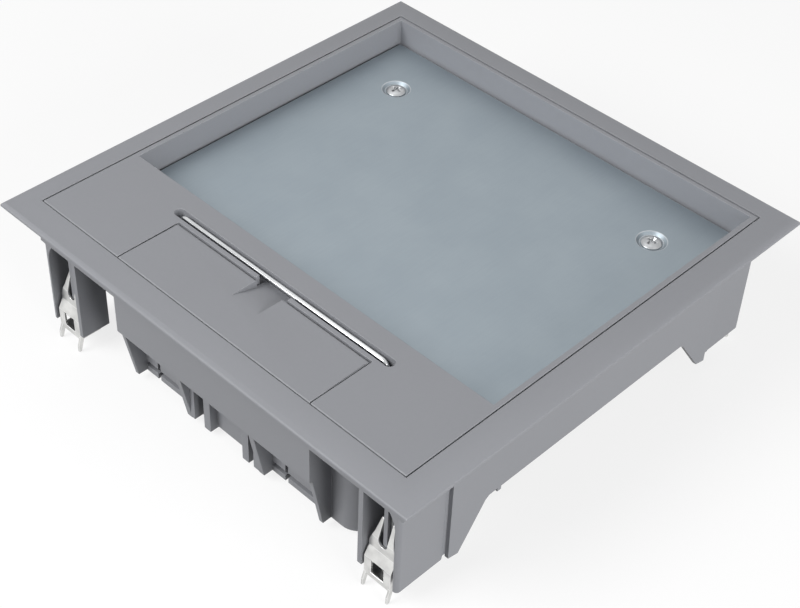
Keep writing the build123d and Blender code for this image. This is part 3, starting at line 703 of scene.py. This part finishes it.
def make_frame_surface():
    bm = solid_mesh("floor_frame")
    print("rim edges:", round_outer_rim(bm))
    soften(bm, moulded_edge)
    piece = new_piece("floor_frame_surface", bm, ["floor_frame"])
    even_shading(piece)
    return piece


mouldings = [make_frame_surface()]
for node in ("lid_frame", "cord_flap"):
    mouldings.append(softened(node, moulded_edge))
for piece in mouldings:
    print(piece.name, "faces:", len(piece.data.polygons))

# %% [markdown]
# ## Steel plate
# The plate is a flat sheet with two pressed dishes that sink the screw heads. Its sheared edge
# is a little rounded.

# %% Steel plate
sheared_edge = 0.22 * mm
plate_piece = softened("steel_insert_plate", sheared_edge, 3)
print(plate_piece.name, "faces:", len(plate_piece.data.polygons))

# %% [markdown]
# ## Turned pieces and screw recesses
# A screw head is a turned shape, so its half outline is spun round the axis. The recess for
# the driver is cut by a Boolean with a tapered cross or a hexagon, which leaves clean edges.

# %% Helpers for turned pieces
turn_steps = 40
cross_taper = 0.55


def turned(outline, steps=turn_steps):
    """Spins a half outline of (radius, height) points, whose ends lie on the axis."""
    bm = bmesh.new()
    points = [bm.verts.new((radius, 0, height)) for radius, height in outline]
    for first, second in zip(points, points[1:]):
        bm.edges.new((first, second))
    bmesh.ops.spin(
        bm,
        geom=bm.verts[:] + bm.edges[:],
        cent=(0, 0, 0),
        axis=(0, 0, 1),
        angle=2 * math.pi,
        steps=steps,
        use_merge=True,
    )
    bmesh.ops.remove_doubles(bm, verts=bm.verts, dist=merge_distance)
    bmesh.ops.recalc_face_normals(bm, faces=bm.faces)
    return bm


def plain_object(name, bm):
    mesh = bpy.data.meshes.new(name)
    bm.to_mesh(mesh)
    bm.free()
    plain = bpy.data.objects.new(name, mesh)
    bpy.context.collection.objects.link(plain)
    return plain


def carved(bm, cutter):
    """Cuts one closed bmesh out of another and returns the result as a bmesh."""
    body = plain_object("blank", bm)
    tool = plain_object("tool", cutter)
    cut = body.modifiers.new("cut", "BOOLEAN")
    cut.operation = "DIFFERENCE"
    cut.solver = "EXACT"
    cut.object = tool
    bpy.context.view_layer.update()
    shaped = body.evaluated_get(bpy.context.evaluated_depsgraph_get())
    result = bmesh.new()
    result.from_mesh(shaped.data)
    for scrap in (body, tool):
        mesh = scrap.data
        bpy.data.objects.remove(scrap)
        bpy.data.meshes.remove(mesh)
    return result


def tapered_cross(length, width, top, depth):
    """A cross that narrows downwards, for the recess of a screw."""
    bm = bmesh.new()
    bmesh.ops.create_grid(bm, x_segments=3, y_segments=3, size=length / 2)
    for vert in bm.verts:
        for axis in (0, 1):
            if abs(vert.co[axis]) < length / 3:
                vert.co[axis] = math.copysign(width / 2, vert.co[axis])
    centres = {face: face.calc_center_median() for face in bm.faces}
    outer = [face for face, at in centres.items() if min(abs(at.x), abs(at.y)) > width / 2]
    bmesh.ops.delete(bm, geom=outer, context="FACES")
    lowered = bmesh.ops.extrude_face_region(bm, geom=bm.faces[:])
    bottom = [g for g in lowered["geom"] if isinstance(g, bmesh.types.BMVert)]
    bmesh.ops.scale(bm, vec=(cross_taper, cross_taper, 1), verts=bottom)
    bmesh.ops.translate(bm, vec=(0, 0, -depth), verts=bottom)
    bmesh.ops.translate(bm, vec=(0, 0, top), verts=bm.verts)
    bmesh.ops.recalc_face_normals(bm, faces=bm.faces)
    return bm


def joined(parts):
    """Puts several bmeshes into one."""
    whole = bmesh.new()
    for part in parts:
        mesh = bpy.data.meshes.new("part")
        part.to_mesh(mesh)
        part.free()
        whole.from_mesh(mesh)
        bpy.data.meshes.remove(mesh)
    return whole


print("turning helpers ready")

# %% [markdown]
# ## Plate screws
# Two screws with low domed heads hold the plate. Each head sits in its dish and has a cross
# recess whose arms lie along the plate's edges. The dome is a quarter of an ellipse, and the
# cross is sized as a share of the head.

# %% Plate screws
thread_radius = 2.5 * mm
dish_depth = 1.5 * mm
tip_height = 0.4 * mm
tip_radius = 2.2 * mm
dome_steps = 7
dome_start = 0.35
recess_length = 1.25
recess_width = 0.3
recess_depth = 0.85
recess_edge = 0.07 * mm
cut_past = 0.05 * mm


def plate_screw_head(radius, low, high):
    height = high - low
    rim = low + dome_start * height
    dome = []
    for step in range(dome_steps + 1):
        share = step / dome_steps
        dome.append((radius * share, rim + (high - rim) * math.sqrt(max(0.0, 1 - share ** 2))))
    head = turned(dome + [(radius, low), (0, low)])
    cross = tapered_cross(
        radius * recess_length, radius * recess_width, high + cut_past, height * recess_depth
    )
    recessed = carved(head, cross)
    soften(recessed, recess_edge, 2, turned_sharp)
    return recessed


def plate_screw_shank(low, seat):
    outline = [
        (0, low),
        (tip_radius, low),
        (thread_radius, low + tip_height),
        (thread_radius, seat),
        (0, seat),
    ]
    return turned(outline)


def make_plate_screws():
    low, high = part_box("plate_screws")
    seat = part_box("steel_insert_plate")[1].z - dish_depth
    radius = (high.y - low.y) / 2
    screws = []
    for x in (low.x + radius, high.x - radius):
        screw = joined([plate_screw_head(radius, seat, high.z), plate_screw_shank(low.z, seat)])
        bmesh.ops.translate(screw, vec=(x, (low.y + high.y) / 2, 0), verts=screw.verts)
        screws.append(screw)
    piece = new_piece("plate_screws_turned", joined(screws), ["plate_screws"])
    even_shading(piece)
    return piece


screws_piece = make_plate_screws()
print(screws_piece.name, "faces:", len(screws_piece.data.polygons))

# %% [markdown]
# ## Wire handle
# The handle is one length of round wire with two bends, and it slides up out of the lid. A
# ring of points is extruded up the first leg, spun through the bend, extruded across, and
# spun and extruded again, just as a wire bender would feed it.

# %% Wire handle
wire_bend = 4.0 * mm
wire_end_round = 0.25 * mm
wire_end_sharp = 60.0
wire_sides = 28
bend_steps = 12


def extrude_rim(bm, rim, move):
    made = bmesh.ops.extrude_edge_only(bm, edges=rim)["geom"]
    verts = [g for g in made if isinstance(g, bmesh.types.BMVert)]
    bmesh.ops.translate(bm, verts=verts, vec=move)
    return [g for g in made if isinstance(g, bmesh.types.BMEdge) and all(v in verts for v in g.verts)]


def spin_rim(bm, rim, centre):
    points = list({v for e in rim for v in e.verts})
    made = bmesh.ops.spin(
        bm, geom=points + rim, cent=centre, axis=(0, 1, 0), angle=math.pi / 2, steps=bend_steps
    )["geom_last"]
    return [g for g in made if isinstance(g, bmesh.types.BMEdge)]


def make_wire_handle():
    low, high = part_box("bail_handle")
    radius = (high.y - low.y) / 2
    leg_x = high.x - radius
    wire_y = (low.y + high.y) / 2
    bend_x = leg_x - wire_bend
    bend_z = high.z - radius - wire_bend
    bm = bmesh.new()
    bmesh.ops.create_circle(bm, segments=wire_sides, radius=radius)
    bmesh.ops.translate(bm, verts=bm.verts, vec=(-leg_x, wire_y, low.z))
    first_rim = bm.edges[:]
    rim = extrude_rim(bm, first_rim, (0, 0, bend_z - low.z))
    rim = spin_rim(bm, rim, (-bend_x, wire_y, bend_z))
    rim = extrude_rim(bm, rim, (2 * bend_x, 0, 0))
    rim = spin_rim(bm, rim, (bend_x, wire_y, bend_z))
    rim = extrude_rim(bm, rim, (0, 0, low.z - bend_z))
    bmesh.ops.edgeloop_fill(bm, edges=first_rim)
    bmesh.ops.edgeloop_fill(bm, edges=rim)
    bmesh.ops.recalc_face_normals(bm, faces=bm.faces)
    soften(bm, wire_end_round, 2, wire_end_sharp)
    return new_piece("wire_handle", bm, ["bail_handle"])


handle_piece = make_wire_handle()
print(handle_piece.name, "faces:", len(handle_piece.data.polygons))

# %% [markdown]
# ## Pins, rings and washers
# The hinge pins, the handle's stop rings and the washers are small turned parts. Their solids
# are round enough, so they only get a fine rounded edge. The higher angle limit keeps the
# bevel off the facets of their round faces.

# %% Pins, rings and washers
pin_edge = 0.12 * mm
for node in ("bail_stop_rings", "lid_hinge_pins", "flap_hinge_pins", "clamp_washers"):
    piece = softened(node, pin_edge, 2, turned_sharp)
    print(piece.name, "faces:", len(piece.data.polygons))

# %% [markdown]
# ## Clamp screws
# Each clamp screw is an M5 screw with a hexagon socket. Its thread is a wedge-shaped strip
# that is wound round the core, made by spinning one small outline while it moves up by one
# pitch in each turn.

# %% Thread
thread_pitch = 0.8 * mm
thread_core = 2.05 * mm
thread_outer = 2.48 * mm
thread_sink = 0.1 * mm
root_half = 0.42 * thread_pitch
crest_half = root_half / 5
steps_per_turn = 16


def thread_coil(low, high):
    turns = int((high - low) / thread_pitch)
    root = thread_core - thread_sink
    wedge = [
        (root, 0, low - root_half),
        (thread_outer, 0, low - crest_half),
        (thread_outer, 0, low + crest_half),
        (root, 0, low + root_half),
    ]
    bm = bmesh.new()
    bmesh.ops.contextual_create(bm, geom=[bm.verts.new(point) for point in wedge])
    bmesh.ops.spin(
        bm,
        geom=bm.faces[:] + bm.edges[:] + bm.verts[:],
        cent=(0, 0, 0),
        axis=(0, 0, 1),
        dvec=(0, 0, thread_pitch / steps_per_turn),
        angle=2 * math.pi * turns,
        steps=steps_per_turn * turns,
    )
    bmesh.ops.recalc_face_normals(bm, faces=bm.faces)
    return bm


print("thread: pitch", thread_pitch, "outer radius", thread_outer)

# %% [markdown]
# The screw itself is turned from a half outline: a flat head with a small chamfer, a short
# plain shank, and a core that the thread is wound on. The hexagon is cut into the head.

# %% Clamp screws
head_height = 2.8 * mm
head_edge = 0.3 * mm
plain_shank = 4.0 * mm
shank_taper = 0.5 * mm
hexagon_radius = 2.0 * mm
hexagon_depth = 2.0 * mm
clip_edge = 0.1 * mm


def hexagon_cutter(top):
    bm = bmesh.new()
    bmesh.ops.create_cone(
        bm,
        cap_ends=True,
        segments=6,
        radius1=hexagon_radius,
        radius2=hexagon_radius,
        depth=2 * hexagon_depth,
    )
    bmesh.ops.translate(bm, vec=(0, 0, top), verts=bm.verts)
    return bm


def make_clamp_screw(corner):
    node = f"clamp_screw_{corner}"
    low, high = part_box(node)
    head_radius = (high.x - low.x) / 2
    seat = high.z - head_height
    shank_end = seat - plain_shank
    core_start = shank_end - shank_taper
    outline = [
        (0, high.z),
        (head_radius - head_edge, high.z),
        (head_radius, high.z - head_edge),
        (head_radius, seat),
        (thread_radius, seat),
        (thread_radius, shank_end),
        (thread_core, core_start),
        (thread_core, low.z + 2 * head_edge),
        (thread_core - head_edge, low.z),
        (0, low.z),
    ]
    screw = carved(turned(outline), hexagon_cutter(high.z))
    coil = thread_coil(low.z + thread_pitch, core_start - shank_taper)
    whole = joined([screw, coil])
    middle = (low + high) / 2
    bmesh.ops.translate(whole, vec=(middle.x, middle.y, 0), verts=whole.verts)
    piece = new_piece(f"threaded_screw_{corner}", whole, [node])
    even_shading(piece)
    return piece


for corner in corners:
    piece = make_clamp_screw(corner)
    softened(f"screw_clip_{corner}", clip_edge, 2, turned_sharp)
print(piece.name, "faces:", len(piece.data.polygons))

# %% [markdown]
# ## Claws
# The claws are stamped from spring steel and bent, so the bends are round as well as the
# edges. A lower angle limit lets the bevel round the shallow bends too.

# %% Claws
claw_edge = 0.2 * mm
claw_sharp = 12.0
for corner in corners:
    piece = softened(f"claw_{corner}", claw_edge, 3, claw_sharp)
print(piece.name, "faces:", len(piece.data.polygons))

# %% [markdown]
# ## Foam strip
# The strip below the flap is soft closed-cell foam. It is a plain block that is subdivided,
# rounded, and roughened by a little noise, which gives it the uneven look of cut foam.

# %% Foam strip
foam_cell = 2.5 * mm
foam_corner = 0.8 * mm
foam_roughness = 0.12 * mm
foam_noise_scale = 400
long_edge_ratio = 1.5
corner_limit = math.radians(60)


def make_foam():
    low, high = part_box("cord_flap_foam")
    size = high - low
    bm = bmesh.new()
    bmesh.ops.create_cube(bm, size=1)
    bmesh.ops.scale(bm, vec=size, verts=bm.verts)
    bmesh.ops.translate(bm, vec=(low + high) / 2, verts=bm.verts)
    long_edges = [e for e in bm.edges if e.calc_length() > size.y * long_edge_ratio]
    bmesh.ops.subdivide_edges(bm, edges=long_edges, cuts=int(size.x / foam_cell), use_grid_fill=True)
    bmesh.ops.bevel(
        bm,
        geom=[e for e in bm.edges if e.calc_face_angle(0.0) > corner_limit],
        offset=foam_corner,
        segments=3,
        profile=0.5,
        affect="EDGES",
        material=-1,
    )
    bmesh.ops.subdivide_edges(bm, edges=bm.edges, cuts=1, use_grid_fill=True)
    for vert in bm.verts:
        inward = vert.normal * foam_roughness
        vert.co -= inward * (1 + noise.noise(vert.co * foam_noise_scale))
    piece = new_piece("foam_strip", bm, ["cord_flap_foam"])
    return piece


foam_piece = make_foam()
print(foam_piece.name, "faces:", len(foam_piece.data.polygons))

# %% [markdown]
# ## Rest pads
# The closed lid lies on small rubber pads. Rubber is cut or moulded with a generous radius,
# so their edges are rounder than those of the plastic.

# %% Rest pads
pad_edge = 0.5 * mm
pads_piece = softened("lid_rest_pads", pad_edge, 3, turned_sharp)
print(pads_piece.name, "faces:", len(pads_piece.data.polygons))

# %% [markdown]
# ## Cups and carriers
# Under the lid three dark cups hang between two rails. A carrier plate closes each cup, and
# the socket inserts snap into its holes.

# %% Cups, carriers and blank plates
cup_edge = 0.35 * mm
carrier_edge = 0.25 * mm
blank_edge = 0.4 * mm
for cup in ("left", "middle", "right"):
    softened(f"device_cup_{cup}", cup_edge, 3)
    softened(f"carrier_plate_{cup}", carrier_edge, 2)
blank_piece = softened("blank_plates", blank_edge, 3)
print(blank_piece.name, "faces:", len(blank_piece.data.polygons))

# %% [markdown]
# ## Socket inserts
# A socket insert has a square face with a round well, and the well's floor has two contact
# holes and a screw. Rings of the same number of points are shaped into the square rim and the
# round well, and the rings are bridged, so that all edges line up. A square ring is a
# superellipse: the higher its power, the tighter its corners.

# %% Rings of points
loop_points = 64
square_power = 14.0


def ring_edges(ring):
    return list({e for v in ring for e in v.link_edges})


def round_ring(bm, radius, height, segments=loop_points, x=0.0):
    ring = bmesh.ops.create_circle(bm, segments=segments, radius=radius)["verts"]
    bmesh.ops.translate(bm, verts=ring, vec=(x, 0, height))
    return ring_edges(ring)


def square_ring(bm, half, height):
    """A ring pushed outwards to a square with rounded corners, half as wide as given."""
    ring = bmesh.ops.create_circle(bm, segments=loop_points, radius=1.0)["verts"]
    for vert in ring:
        angle = math.atan2(vert.co.y, vert.co.x)
        total = sum(abs(turn(angle)) ** square_power for turn in (math.cos, math.sin))
        reach = half * total ** (-1 / square_power)
        vert.co = (reach * math.cos(angle), reach * math.sin(angle), height)
    return ring_edges(ring)


print("ring points:", loop_points)

# %% [markdown]
# The body of an insert is a list of rings from its underside up to the face and down into the
# well. A square ring is given by half its width and its height, and a round ring by its
# radius and its height.

# %% Socket body
socket_radius = 19.5 * mm
socket_depth = 16.0 * mm
socket_rim = 1.1 * mm
face_thickness = 1.2 * mm
face_drop = 0.05 * mm
contact_radius = 2.45 * mm
contact_place = 9.5 * mm
contact_depth = 4.0 * mm
contact_points = 24


def socket_rings(bm, face_top, face_half, body_half, bottom):
    square_rings = [
        (body_half, bottom),
        (body_half, face_top - face_thickness),
        (face_half, face_top - face_thickness),
        (face_half, face_top - 0.35 * mm),
        (face_half - 0.2 * mm, face_top - 0.08 * mm),
        (face_half - 0.5 * mm, face_top - face_drop),
    ]
    round_rings = [
        (socket_radius + socket_rim + 0.3 * mm, face_top - face_drop),
        (socket_radius + socket_rim, face_top),
        (socket_radius + 0.2 * mm, face_top),
        (socket_radius - 0.1 * mm, face_top - 0.5 * mm),
        (socket_radius - 0.3 * mm, face_top - socket_depth + 0.6 * mm),
        (socket_radius - 0.8 * mm, face_top - socket_depth),
    ]
    rings = [square_ring(bm, half, height) for half, height in square_rings]
    rings += [round_ring(bm, radius, height) for radius, height in round_rings]
    return rings


def socket_body(face_top, face_half, body_half, bottom):
    bm = bmesh.new()
    rings = socket_rings(bm, face_top, face_half, body_half, bottom)
    for first, second in zip(rings, rings[1:]):
        bmesh.ops.bridge_loops(bm, edges=first + second)
    holes = []
    for x in (-contact_place, contact_place):
        holes.append(round_ring(bm, contact_radius, face_top - socket_depth, contact_points, x))
    bmesh.ops.triangle_fill(bm, use_beauty=True, edges=rings[-1] + holes[0] + holes[1])
    for hole in holes:
        end = extrude_rim(bm, hole, (0, 0, -contact_depth))
        bmesh.ops.edgeloop_fill(bm, edges=end)
    bmesh.ops.edgeloop_fill(bm, edges=rings[0])
    bmesh.ops.recalc_face_normals(bm, faces=bm.faces)
    return bm


print("well depth:", socket_depth)

# %% [markdown]
# Each insert gets its body, and a small screw with a cross recess in the middle of the well's
# floor, which is a piece of its own because it is steel.

# %% Socket inserts
body_inset = 1.0 * mm
well_screw_outline = ((0, 1.0), (2.4, 0.7), (2.8, 0), (0, 0))
well_screw_steps = 24
well_cross_length = 3.4 * mm
well_cross_width = 0.8 * mm
well_cross_top = 1.1 * mm
well_cross_depth = 0.8 * mm
well_screw_edge = 0.06 * mm
contact_edge = 0.2 * mm


def well_screw(height):
    outline = [(radius * mm, height + rise * mm) for radius, rise in well_screw_outline]
    head = turned(outline, well_screw_steps)
    cross = tapered_cross(well_cross_length, well_cross_width, height + well_cross_top, well_cross_depth)
    return carved(head, cross)


def make_socket(node):
    low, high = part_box(node)
    middle = (low + high) / 2
    face_half = (high.x - low.x) / 2
    body = socket_body(high.z, face_half, face_half - body_inset, low.z)
    bmesh.ops.translate(body, vec=(middle.x, middle.y, 0), verts=body.verts)
    piece = new_piece(f"{node}_face", body, [node])
    even_shading(piece)
    screw = well_screw(high.z - socket_depth)
    bmesh.ops.translate(screw, vec=(middle.x, middle.y, 0), verts=screw.verts)
    soften(screw, well_screw_edge, 1, turned_sharp)
    new_piece(f"{node}_screw", screw, [], "screw_steel", body_of_node(node))
    return piece


for cup in ("left", "middle"):
    for place in ("front", "centre", "rear"):
        socket_piece = make_socket(f"socket_insert_{cup}_{place}")
    softened(f"earth_clips_{cup}", contact_edge, 3)
print(socket_piece.name, "faces:", len(socket_piece.data.polygons))
